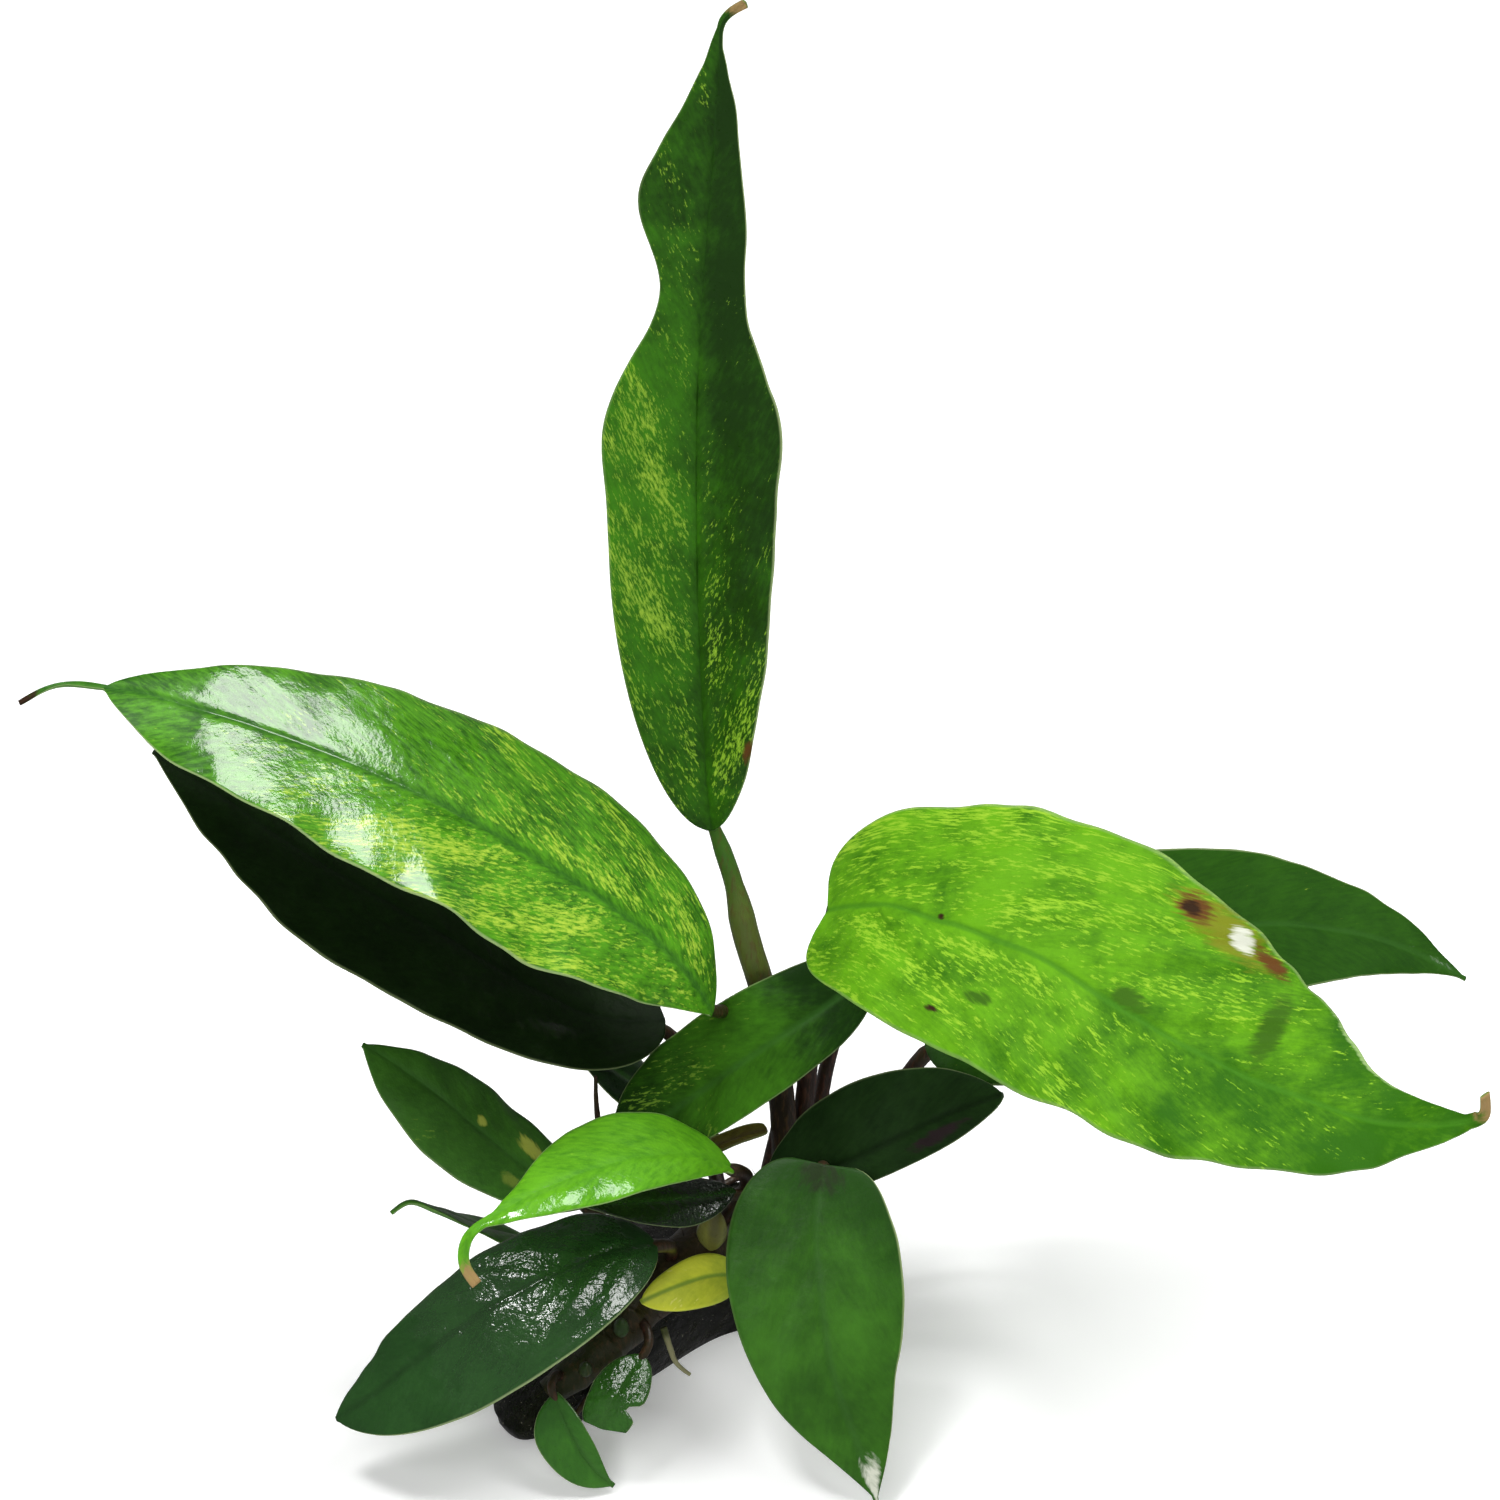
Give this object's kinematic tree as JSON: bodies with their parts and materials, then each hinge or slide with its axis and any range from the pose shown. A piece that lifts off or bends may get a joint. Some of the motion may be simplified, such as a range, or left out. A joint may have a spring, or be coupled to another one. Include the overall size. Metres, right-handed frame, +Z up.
{
  "type": "anubias plant on stone",
  "caption": "Water plant with arched, pointed leathery leaves on long stems, its creeping rhizome held by roots to a low dark stone with a flat underside.",
  "frame": {"origin": "centre of the stone's flat underside, on the surface that the stone stands on", "axes": "+Z up along the tall leaf, +X to the right towards the large bright leaf, -Y to the front"},
  "size_m": [0.1776, 0.0721, 0.1819],
  "materials": {
    "leaf_green": "gloss",
    "leaf_dark": "gloss",
    "leaf_lime": "satin",
    "leaf_yellow": "satin",
    "leaf_old": "satin",
    "stem": "satin",
    "stem_green": "satin",
    "rhizome": "satin",
    "root": "matte",
    "bud": "satin",
    "stone": "gloss"
  },
  "bodies": {
    "root": {"bud_end": "bud", "bud_middle": "bud", "leaf_back": "leaf_dark", "leaf_centre": "leaf_green", "leaf_front": "leaf_green", "leaf_glossy": "leaf_dark", "leaf_husk": "leaf_old", "leaf_left": "leaf_green", "leaf_lime": "leaf_lime", "leaf_narrow": "leaf_green", "leaf_right": "leaf_lime", "leaf_scale": "leaf_old", "leaf_shaded": "leaf_dark", "leaf_small": "leaf_green", "leaf_split": "leaf_dark", "leaf_spotted": "leaf_dark", "leaf_tall": "leaf_green", "leaf_torn": "leaf_dark", "leaf_tucked": "leaf_dark", "leaf_wet": "leaf_dark", "leaf_yellow": "leaf_yellow", "rhizome": "rhizome", "root_back_left": "root", "root_back_middle": "root", "root_back_right": "root", "root_free": "root", "root_front_left": "root", "root_front_right": "root", "root_right_end": "root", "stem_back": "stem", "stem_centre": "stem", "stem_front": "stem", "stem_glossy": "stem", "stem_left": "stem", "stem_lime": "stem", "stem_narrow": "stem", "stem_right": "stem", "stem_shaded": "stem", "stem_small": "stem", "stem_split": "stem", "stem_spotted": "stem", "stem_tall": "stem_green", "stem_torn": "stem", "stem_tucked": "stem", "stem_wet": "stem", "stem_yellow": "stem", "stone": "stone", "young_leaf": "stem"}
  },
  "joints": []
}
